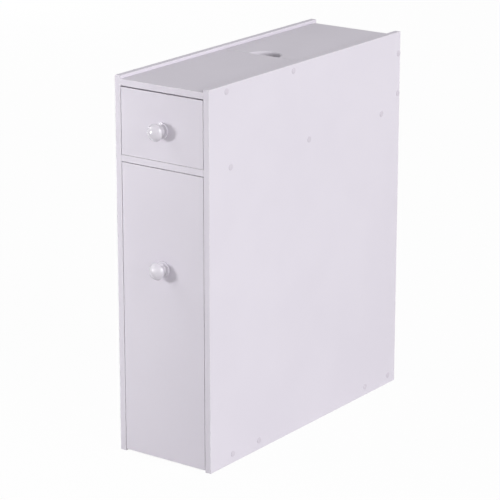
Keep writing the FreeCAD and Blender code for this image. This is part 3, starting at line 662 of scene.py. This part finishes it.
def solids(node):
    """Corner points of each separate solid in a CAD node."""
    shape = bmesh.new()
    shape.from_mesh(frame["nodes"][node].data)
    bmesh.ops.remove_doubles(shape, verts=shape.verts, dist=MERGE)
    found = []
    for seed in shape.verts:
        if seed.tag:
            continue
        seed.tag = True
        group = [seed]
        for vert in group:
            for edge in vert.link_edges:
                other = edge.other_vert(vert)
                if not other.tag:
                    other.tag = True
                    group.append(other)
        found.append([vert.co.copy() for vert in group])
    shape.free()
    return found


def box_of(points):
    """Low and high corner of the box round some points."""
    low = Vector(min(point[axis] for point in points) for axis in range(3))
    high = Vector(max(point[axis] for point in points) for axis in range(3))
    return low, high


def rod(points):
    """Measures of a round solid, from the middle of its wide end."""
    low, high = box_of(points)
    sizes = high - low
    axis = min(range(3), key=lambda index: len({round(point[index], PLACES) for point in points}))
    along = Vector((axis == 0, axis == 1, axis == 2))
    middle = (low + high) / 2
    reach = along * sizes[axis] / 2

    def radius(point):
        across = point - middle
        return (across - along * across.dot(along)).length

    def face(end):
        return max(radius(point) for point in points if abs((point - end).dot(along)) < NEAR)

    spot, direction = middle - reach, along
    if face(middle + reach) > face(spot) + NEAR:
        spot, direction = middle + reach, -along
    rings = [((point - spot).dot(direction), radius(point)) for point in points]
    shank = max(wide for deep, wide in rings if deep > sizes[axis] / 2)
    head = max((deep for deep, wide in rings if wide > shank + NEAR), default=0)
    radii = [wide for deep, wide in rings]
    return Rod(spot, direction, sizes[axis], face(spot), max(radii), shank, head, min(radii))


def rods(node):
    """Measures of each round solid in a CAD node."""
    return [rod(points) for points in solids(node)]


def stand_in(name, shape, material, *nodes):
    """A finished piece that rides with the body of the CAD nodes it stands for, and hides those nodes."""
    mesh = bpy.data.meshes.new(name)
    shape.to_mesh(mesh)
    shape.free()
    mesh.shade_smooth()
    mesh.set_sharp_from_angle(angle=SMOOTH_ANGLE)
    mesh.materials.append(material)
    piece = bpy.data.objects.new(name, mesh)
    bpy.context.scene.collection.objects.link(piece)
    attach(piece, frame["nodes"][nodes[0]]["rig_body"])
    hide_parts(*nodes)


def dress(node, material):
    """Give a CAD node its finish."""
    for slot in frame["nodes"][node].material_slots:
        slot.material = material


def nodes_in(slot, *endings):
    """CAD nodes of a material slot whose names end in one of the endings."""
    return [node for node, name in SLOTS.items() if name == slot and node.endswith(endings or "")]


# Boards and panels

class CABINET_OT_boards(bpy.types.Operator):
    """Paint the boards of the carcass, the fronts and the two boxes"""
    bl_idname = "cabinet.boards"
    bl_label = "Painted boards"

    def execute(self, context):
        for node in nodes_in("white_board"):
            if node != "rear_lid":
                dress(node, painted_board(node, context.scene.cabinet_finishes))
        return {"FINISHED"}


class CABINET_OT_panels(bpy.types.Operator):
    """Build the thin panels that lie in grooves, with eased edges"""
    bl_idname = "cabinet.panels"
    bl_label = "Thin panels"

    def execute(self, context):
        shapes = context.scene.cabinet_shapes
        for node in nodes_in("thin_panel"):
            shape = sheet(*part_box(node), shapes.panel_ease, shapes.panel_ease, shapes.corner_steps)
            stand_in(f"eased_{node}", shape, faced_panel(node, context.scene.cabinet_finishes), node)
        return {"FINISHED"}


class CABINET_OT_lid(bpy.types.Operator):
    """Build the rear lid with eased edges, a rounded rear, its finger notch and its pin holes"""
    bl_idname = "cabinet.lid"
    bl_label = "Rear lid"

    def execute(self, context):
        shapes = context.scene.cabinet_shapes
        low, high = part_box("rear_lid")
        ease = shapes.lid_ease
        blank = sheet(low, high, ease, (high.z - low.z) / 2, 2 * shapes.corner_steps)
        rim = shapes.notch_ease
        flare = shapes.notch + 2 * rim
        notch = turned(eased([
            (0, low.z - rim), (flare, low.z - rim), (flare, low.z - SKIN), (shapes.notch, low.z - SKIN, ease),
            (shapes.notch, high.z + SKIN, rim), (flare, high.z + SKIN), (flare, high.z + rim),
            (0, high.z + rim)], 2 * shapes.corner_steps), shapes.round_steps)
        bores = []
        for pin in rods("lid_pivot_pins"):
            side = math.copysign(1, pin.spot.x)
            tip = pin.spot + pin.direction * pin.length
            depth = high.x - min(abs(pin.spot.x), abs(tip.x)) + shapes.fit
            radius = pin.shank + shapes.fit
            bore = turned([(0, -ease), (radius, -ease), (radius, depth), (0, depth)], shapes.round_steps // 2)
            bores.append(stood(bore, Vector((side * high.x, pin.spot.y, pin.spot.z)), Vector((-side, 0, 0))))
        shape = tidied(combined("DIFFERENCE", blank, stood(notch, Vector((0, low.y, 0)), UP), joined(bores)))
        stand_in("notched_lid", shape, painted_board("rear_lid", context.scene.cabinet_finishes), "rear_lid")
        return {"FINISHED"}


# Knobs, caps and fixings

class CABINET_OT_knobs(bpy.types.Operator):
    """Turn the two mushroom knobs, bored for their screws"""
    bl_idname = "cabinet.knobs"
    bl_label = "Knobs"

    def execute(self, context):
        shapes = context.scene.cabinet_shapes
        material = knob_lacquer(context.scene.cabinet_finishes)
        for node in nodes_in("knob_gloss"):
            low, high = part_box(node)
            head = (high.x - low.x) / 2
            tall = high.y - low.y
            rise = tall - shapes.knob_rim_height
            dome = (head * head + rise * rise) / (2 * rise)
            spread = math.asin(head / dome)
            ease = shapes.knob_ease
            screw = rods(f"{node}_screw")[0]
            bore = screw.shank + shapes.fit
            deep = high.y - (screw.spot + screw.direction * screw.length).y + shapes.fit
            profile = eased([
                (0, deep), (bore, deep), (bore, 0), (shapes.knob_flange, 0, ease / 4),
                (shapes.knob_flange, shapes.knob_flange_height, ease / 2),
                (shapes.knob_neck, shapes.knob_flange_height, ease),
                (shapes.knob_neck, shapes.knob_neck_top, ease),
                (head, shapes.knob_flare, ease), (head, shapes.knob_rim_height),
            ], shapes.corner_steps)
            dome_steps = 4 * shapes.corner_steps
            profile += [Vector((dome * math.sin(turn), tall - dome + dome * math.cos(turn)))
                        for turn in (spread * (1 - step / dome_steps) for step in range(1, dome_steps + 1))]
            shape = turned(profile, shapes.round_steps)
            seat = Vector(((low.x + high.x) / 2, high.y, (low.z + high.z) / 2))
            stand_in(f"turned_{node}", stood(shape, seat, FORWARD), material, node)
        return {"FINISHED"}


class CABINET_OT_caps(bpy.types.Operator):
    """Mould the domed caps over the carcass screws"""
    bl_idname = "cabinet.caps"
    bl_label = "Screw cover caps"

    def execute(self, context):
        shapes = context.scene.cabinet_shapes
        found = rods("screw_cover_caps")
        cap = found[0]
        profile = eased([
            (0, 0), (cap.wide / 2, 0, cap.wide / 3), (cap.wide, shapes.cap_dome, shapes.cap_ease),
            (cap.wide, cap.head), (cap.shank, cap.head), (cap.shank, cap.length, cap.shank / 4),
            (0, cap.length),
        ], shapes.corner_steps)
        shape = placed(turned(profile, shapes.round_steps // 2), found)
        stand_in("domed_cover_caps", shape, cap_plastic(context.scene.cabinet_finishes), "screw_cover_caps")
        return {"FINISHED"}


class CABINET_OT_screws(bpy.types.Operator):
    """Cut threads, hexagon sockets in the carcass screws and cross recesses in the others"""
    bl_idname = "cabinet.screws"
    bl_label = "Screws"
    hexagon_sides = 6
    # A ridge's share of the thread's pitch.
    ridge_share = 0.5
    # Depth of a cross recess as a share of the head's height, and its reach in and over the head as shares of
    # its width; a blade is as thick on each side of its middle as the width over its slimness.
    cross_depth_share = 0.75
    cross_foot_share = 0.5
    cross_mouth_share = 1.5
    cross_slimness = 5

    def execute(self, context):
        shapes = context.scene.cabinet_shapes
        material = shared(zinc_plate, context.scene.cabinet_finishes)
        for node in nodes_in("zinc_steel", "screw", "screws"):
            found = rods(node)
            drives = self.cross(found[0], shapes)
            if node == "carcass_screws":
                drives = [self.hexagon(shapes)]
            shape = combined("DIFFERENCE", self.blank(found[0], shapes), *drives)
            stand_in(f"threaded_{node}", placed(shape, found), material, node)
        return {"FINISHED"}

    def blank(self, screw, shapes):
        """Wood screw from the top of its head at z 0 down to its tip, without its drive."""
        pitch = shapes.thread_pitch * screw.shank
        root = shapes.thread_root * screw.shank
        ease = shapes.small_ease
        start, end = screw.head + pitch / 2, screw.length - 2 * screw.shank
        rings = round((end - start) / pitch * shapes.thread_rings)
        profile = eased([
            (0, 0), (screw.wide, 0, ease), (screw.wide, screw.head, ease / 2), (root, screw.head),
        ], shapes.corner_steps)
        profile += [Vector((root, start + (end - start) * ring / rings)) for ring in range(rings + 1)]
        profile += [Vector((root / 2, screw.length - screw.shank)), Vector((0, screw.length))]
        shape = turned(profile, shapes.small_steps)
        for vert in shape.verts:
            run_in = min((vert.co.z - start) / pitch, (end - vert.co.z) / pitch, 1)
            turn = math.atan2(vert.co.y, vert.co.x) / math.tau
            off_middle = abs((vert.co.z / pitch - turn) % 1 - 0.5)
            ridge = max(0, 1 - 2 / self.ridge_share * off_middle)
            if run_in > 0:
                vert.co.xy *= 1 + (1 / shapes.thread_root - 1) * ridge * run_in
        return shape

    def hexagon(self, shapes):
        """Six-sided cutter with a pointed foot."""
        corner = shapes.socket / math.cos(math.pi / self.hexagon_sides)
        deep = shapes.socket_depth
        profile = [(0, -deep), (corner, -deep), (corner, deep), (0, deep + shapes.socket / 4)]
        return turned(profile, self.hexagon_sides)

    def cross(self, screw, shapes):
        """Two crossed tapering blades."""
        wide = screw.wide * shapes.drive
        deep = screw.head * self.cross_depth_share
        thick = wide / self.cross_slimness
        blades = []
        for turn in (0, math.pi / 2):
            sections = []
            for z, half in ((-deep, wide * self.cross_mouth_share), (deep, wide * self.cross_foot_share)):
                corners = [Vector((x * half, y * thick, z)) for x, y in SQUARE]
                sections.append([Matrix.Rotation(turn, 3, "Z") @ corner for corner in corners])
            blades.append(lofted(sections))
        return blades


class CABINET_OT_rivets(bpy.types.Operator):
    """Form the axle rivets of the rollers and the lid's pivot pins"""
    bl_idname = "cabinet.rivets"
    bl_label = "Rivets and pins"
    # A rivet's crown is flat over this share of its radius and slopes over this share of its height.
    crown_share = 0.6

    def execute(self, context):
        shapes = context.scene.cabinet_shapes
        material = shared(zinc_plate, context.scene.cabinet_finishes)
        ease = shapes.small_ease
        for node in nodes_in("zinc_steel", "rivets"):
            found = rods(node)
            rivet = found[0]
            profile = eased([
                (0, 0), (rivet.wide * self.crown_share, 0, rivet.wide / 4),
                (rivet.wide, rivet.head * self.crown_share, ease / 2),
                (rivet.wide, rivet.head, ease / 4), (rivet.shank, rivet.head),
                (rivet.shank, rivet.length, ease), (0, rivet.length)], shapes.corner_steps)
            shape = placed(turned(profile, shapes.round_steps // 2), found)
            stand_in(f"formed_{node}", shape, material, node)
        found = rods("lid_pivot_pins")
        pin = found[0]
        groove = pin.length / 2
        profile = eased([
            (0, 0), (pin.shank, 0, ease), (pin.shank, groove - 2 * ease, ease / 4),
            (pin.shank - ease, groove - ease, ease / 4), (pin.shank - ease, groove + ease, ease / 4),
            (pin.shank, groove + 2 * ease, ease / 4), (pin.shank, pin.length, ease), (0, pin.length),
        ], shapes.corner_steps)
        shape = placed(turned(profile, shapes.round_steps // 2), found)
        stand_in("grooved_pivot_pins", shape, material, "lid_pivot_pins")
        return {"FINISHED"}


class CABINET_OT_dowels(bpy.types.Operator):
    """Turn the fluted beech dowels"""
    bl_idname = "cabinet.dowels"
    bl_label = "Dowels"

    def execute(self, context):
        shapes = context.scene.cabinet_shapes
        material = beech_wood(context.scene.cabinet_finishes)
        for node in nodes_in("beech_dowel"):
            found = rods(node)
            dowel = found[0]
            chamfer = dowel.shank - dowel.face
            profile = [(0, 0), (dowel.face, 0), (dowel.shank, chamfer), (dowel.shank, dowel.length - chamfer),
                       (dowel.face, dowel.length), (0, dowel.length)]
            shape = turned(profile, 4 * shapes.flutes)
            for vert in shape.verts:
                groove = max(0, math.cos(math.atan2(vert.co.y, vert.co.x) * shapes.flutes))
                if vert.co.xy.length > dowel.face + NEAR:
                    vert.co.xy *= 1 - groove * shapes.flute_depth / dowel.shank
            stand_in(f"fluted_{node}", placed(shape, found), material, node)
        return {"FINISHED"}


# Runners and pivots

class CABINET_OT_rollers(bpy.types.Operator):
    """Mould the nylon rollers with a hub, a thin web and a tyre"""
    bl_idname = "cabinet.rollers"
    bl_label = "Rollers"

    def execute(self, context):
        shapes = context.scene.cabinet_shapes
        material = shared(nylon, context.scene.cabinet_finishes)
        ease = shapes.small_ease
        web = shapes.roller_recess
        for node in nodes_in("nylon", "_roller"):
            found = rods(node)
            roller = found[0]
            tyre = roller.wide - shapes.roller_tyre
            side = [(shapes.roller_hub, 0, ease), (shapes.roller_hub + web / 2, web, ease),
                    (tyre - web / 2, web, ease), (tyre, 0, ease / 2), (roller.face, 0, ease),
                    (roller.wide, roller.wide - roller.face, ease)]
            other_side = [(wide, roller.length - deep, radius) for wide, deep, radius in reversed(side)]
            bore = [(roller.bore, roller.length, ease / 2), (roller.bore, 0, ease / 2)]
            profile = eased([*side, *other_side, *bore], shapes.corner_steps, closed=True)
            stand_in(f"moulded_{node}", placed(bored(profile, shapes.round_steps), found), material, node)
        return {"FINISHED"}


class CABINET_OT_pivots(bpy.types.Operator):
    """Mould the nylon bushes of the lid's pins and the pegs that the lid rests on"""
    bl_idname = "cabinet.pivots"
    bl_label = "Bushes and pegs"

    def execute(self, context):
        shapes = context.scene.cabinet_shapes
        material = shared(nylon, context.scene.cabinet_finishes)
        ease = shapes.small_ease
        found = rods("lid_pivot_bushes")
        bush = found[0]
        profile = eased([
            (bush.bore, 0, ease / 2), (bush.wide, 0, ease / 2), (bush.wide, bush.head, ease / 4),
            (bush.shank, bush.head), (bush.shank, bush.length, ease), (bush.bore, bush.length)],
            shapes.corner_steps, closed=True)
        shape = placed(bored(profile, shapes.round_steps // 2), found)
        stand_in("flanged_pivot_bushes", shape, material, "lid_pivot_bushes")
        pegs = [self.peg(points, shapes) for points in solids("lid_rest_pegs")]
        stand_in("tabbed_rest_pegs", joined(pegs), material, "lid_rest_pegs")
        return {"FINISHED"}

    def peg(self, points, shapes):
        """Round-edged tab on a stem that goes into the side panel."""
        low, high = box_of(points)
        middle = (low + high) / 2
        side = math.copysign(1, middle.x)
        tip, stem_end = sorted((abs(low.x), abs(high.x)))
        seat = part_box("right_side_panel")[0].x
        ease = 2 * shapes.small_ease

        def section(x, inset):
            outline = framed(low, high, inset, (ease, ease, ease, ease), shapes.corner_steps)
            return [(side * x, y, z) for y, z in outline]

        tab = lofted(eased_ends(tip, seat, ease, shapes.corner_steps, section))
        stem_radius = max(abs(point.z - middle.z) for point in points if abs(point.x) > seat + NEAR)
        deep = stem_end - seat
        stem = turned(eased([(0, -ease), (stem_radius, -ease), (stem_radius, deep, ease), (0, deep)],
                            shapes.corner_steps), shapes.round_steps // 2)
        stood(stem, Vector((side * seat, middle.y, middle.z)), Vector((side, 0, 0)))
        return combined("UNION", tab, stem)


class CABINET_OT_runners(bpy.types.Operator):
    """Bend the steel runners, with their slots and their screw and rivet holes"""
    bl_idname = "cabinet.runners"
    bl_label = "Runners"

    def execute(self, context):
        shapes = context.scene.cabinet_shapes
        material = powder_coat(context.scene.cabinet_finishes)
        for node in nodes_in("coated_steel"):
            low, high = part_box(node)
            owner = "cabinet" if node.endswith("cabinet_runner") else node.partition("_")[0]
            corners = self.channel(low, high, shapes) if owner == "cabinet" else self.rail(low, high, shapes)
            side = math.copysign(1, low.x)
            outline = [(side * x, z) for x, z in eased(corners, shapes.corner_steps, closed=True)]
            shape = lofted([[(x, y, z) for x, z in outline] for y in (low.y, high.y)])
            fixings = [*rods(f"{owner}_runner_screws"), *rods(f"{owner}_roller_rivets")]
            through = [pin for pin in fixings if pin.spot.x * side > 0 and low.z < pin.spot.z < high.z]
            cutters = [*self.holes(through, low, high, shapes), *self.slots(through, low, high, shapes)]
            stand_in(f"bent_{node}", combined("DIFFERENCE", shape, joined(cutters)), material, node)
        return {"FINISHED"}

    def channel(self, low, high, shapes):
        """Section of the channel on the side panel: a web with a flange at its foot and its head."""
        tip, wall = sorted((abs(low.x), abs(high.x)))
        thick, inner, lip = shapes.sheet, shapes.bend, shapes.sheet / 3
        outer = inner + thick
        return [
            (wall, low.z, outer), (tip, low.z, lip), (tip, low.z + thick, lip),
            (wall - thick, low.z + thick, inner), (wall - thick, high.z - thick, inner),
            (tip, high.z - thick, lip), (tip, high.z, lip), (wall, high.z, outer),
        ]

    def rail(self, low, high, shapes):
        """Section of the rail on a box: a foot under its side, a web, and a flange that rolls."""
        foot, tip = sorted((abs(low.x), abs(high.x)))
        thick, inner, lip = shapes.sheet, shapes.bend, shapes.sheet / 3
        outer = inner + thick
        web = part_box("drawer_right_side")[1].x
        return [
            (web, low.z + thick, inner), (foot, low.z + thick, lip), (foot, low.z, lip),
            (web + thick, low.z, outer), (web + thick, high.z - thick, inner), (tip, high.z - thick, lip),
            (tip, high.z, lip), (web, high.z, outer),
        ]

    def holes(self, through, low, high, shapes):
        """Round cutters for the fixings."""
        reach = high.x - low.x + 2 * shapes.sheet
        cutters = []
        for pin in through:
            radius = pin.shank + shapes.fit
            cutter = turned([(0, 0), (radius, 0), (radius, reach), (0, reach)], shapes.round_steps // 2)
            spot = Vector((low.x - shapes.sheet, pin.spot.y, pin.spot.z))
            cutters.append(stood(cutter, spot, Vector((1, 0, 0))))
        return cutters

    def slots(self, through, low, high, shapes):
        """Long round-ended cutters along the web, clear of the fixings."""
        half = shapes.slot_width / 2
        reach = shapes.slot_length / 2
        height = (low.z + high.z) / 2
        cutters = []
        for step in range(1, int((high.y - low.y) / shapes.slot_spacing)):
            y = low.y + shapes.slot_spacing * step
            if any(abs(pin.spot.y - y) < reach + pin.wide for pin in through):
                continue
            corners = [(y + u * reach, height + v * half, half - MERGE) for u, v in SQUARE]
            outline = eased(corners, shapes.corner_steps, closed=True)
            ends = (low.x - shapes.sheet, high.x + shapes.sheet)
            cutters.append(lofted([[(x, *point) for point in outline] for x in ends]))
        return cutters


# Stage

def add_lamp(name, spot, target, width, power):
    """Square area lamp that faces a target and doesn't show to the camera."""
    lamp = bpy.data.lights.new(name, "AREA")
    lamp.shape = "SQUARE"
    lamp.size = width
    lamp.energy = power
    thing = bpy.data.objects.new(name, lamp)
    thing.location = spot
    thing.rotation_euler = (Vector(target) - Vector(spot)).to_track_quat("-Z", "Y").to_euler()
    thing.visible_camera = False
    bpy.context.scene.collection.objects.link(thing)


class CABINET_OT_stage(bpy.types.Operator):
    """Set up the floor, the white surround, the lamps and the camera"""
    bl_idname = "cabinet.stage"
    bl_label = "Studio"

    def execute(self, context):
        stage = context.scene.cabinet_stage
        self.add_floor(stage)
        self.add_surround(context.scene, stage)
        middle = Vector(stage.target)
        for name in LAMPS:
            spot, width, power = (getattr(stage, f"{name}_{key}") for key in ("place", "size", "power"))
            add_lamp(f"{name}_lamp", spot, middle, width, power)
        self.add_camera(context.scene, stage)
        context.scene.view_settings.view_transform = "Standard"
        return {"FINISHED"}

    def add_floor(self, stage):
        """Pale floor that takes the shadow and is nearly plain white to the eye and in reflections."""
        half = stage.floor / 2
        shape = bmesh.new()
        corners = [shape.verts.new((x * half, y * half, 0)) for x, y in SQUARE]
        shape.faces.new(corners)
        mesh = bpy.data.meshes.new("floor")
        shape.to_mesh(mesh)
        shape.free()
        finish = Finish("floor", Base_Color=stage.floor_colour, Roughness=0.8, Specular_IOR_Level=0.0)
        white = finish.node("ShaderNodeEmission", {}, {"Color": (1, 1, 1), "Strength": 1.0})
        seen = finish.node("ShaderNodeMixShader", {}, (
            finish.light_path() * stage.floor_white, Signal(finish, finish.shader.outputs[0]), white))
        finish.feed(finish.tree.nodes["Material Output"].inputs["Surface"], seen)
        mesh.materials.append(finish.material)
        floor = bpy.data.objects.new("floor", mesh)
        bpy.context.scene.collection.objects.link(floor)

    def add_surround(self, scene, stage):
        """White to the eye and in reflections, and a soft even light on everything else."""
        scene.world = bpy.data.worlds.new("surround")
        scene.world.use_nodes = True
        graph = Graph(scene.world.node_tree)
        light = graph.node("ShaderNodeBackground", {}, {"Color": stage.ambient, "Strength": 1.0})
        white = graph.node("ShaderNodeBackground", {}, {"Color": (1, 1, 1), "Strength": 1.0})
        seen = graph.node("ShaderNodeMixShader", {}, (graph.light_path(), light, white))
        graph.feed(graph.tree.nodes["World Output"].inputs["Surface"], seen)

    def add_camera(self, scene, stage):
        """Camera at the photograph's viewing angle."""
        camera = bpy.data.cameras.new("camera")
        camera.lens = stage.lens
        level = math.cos(stage.elevation)
        back = Vector((math.sin(stage.azimuth) * level, -math.cos(stage.azimuth) * level,
                       math.sin(stage.elevation)))
        thing = bpy.data.objects.new("camera", camera)
        thing.location = Vector(stage.target) + back * stage.distance
        thing.rotation_euler = (-back).to_track_quat("-Z", "Y").to_euler()
        scene.collection.objects.link(thing)
        scene.camera = thing


STEPS = (
    CABINET_OT_boards, CABINET_OT_panels, CABINET_OT_lid, CABINET_OT_knobs, CABINET_OT_caps,
    CABINET_OT_screws, CABINET_OT_rivets, CABINET_OT_dowels, CABINET_OT_rollers, CABINET_OT_pivots,
    CABINET_OT_runners, CABINET_OT_stage,
)
GROUPS = {"cabinet_finishes": CabinetFinishes, "cabinet_shapes": CabinetShapes, "cabinet_stage": CabinetStage}


class VIEW3D_PT_cabinet(bpy.types.Panel):
    """Lists the cabinet's steps and what they are set to"""
    bl_label = "Bathroom cabinet"
    bl_space_type = "VIEW_3D"
    bl_region_type = "UI"
    bl_category = "Cabinet"

    def draw(self, context):
        for step in STEPS:
            self.layout.operator(step.bl_idname)
        for name, group in GROUPS.items():
            box = self.layout.box()
            for key in group.__annotations__:
                box.prop(getattr(context.scene, name), key)


def register():
    for cls in (*GROUPS.values(), *STEPS, VIEW3D_PT_cabinet):
        bpy.utils.register_class(cls)
    for name, group in GROUPS.items():
        setattr(bpy.types.Scene, name, PointerProperty(type=group))


def unregister():
    for name in GROUPS:
        delattr(bpy.types.Scene, name)
    for cls in (VIEW3D_PT_cabinet, *STEPS, *GROUPS.values()):
        bpy.utils.unregister_class(cls)


def main():
    register()
    for step in STEPS:
        getattr(bpy.ops.cabinet, step.bl_idname.partition(".")[2])()


if __name__ == "__main__":
    main()
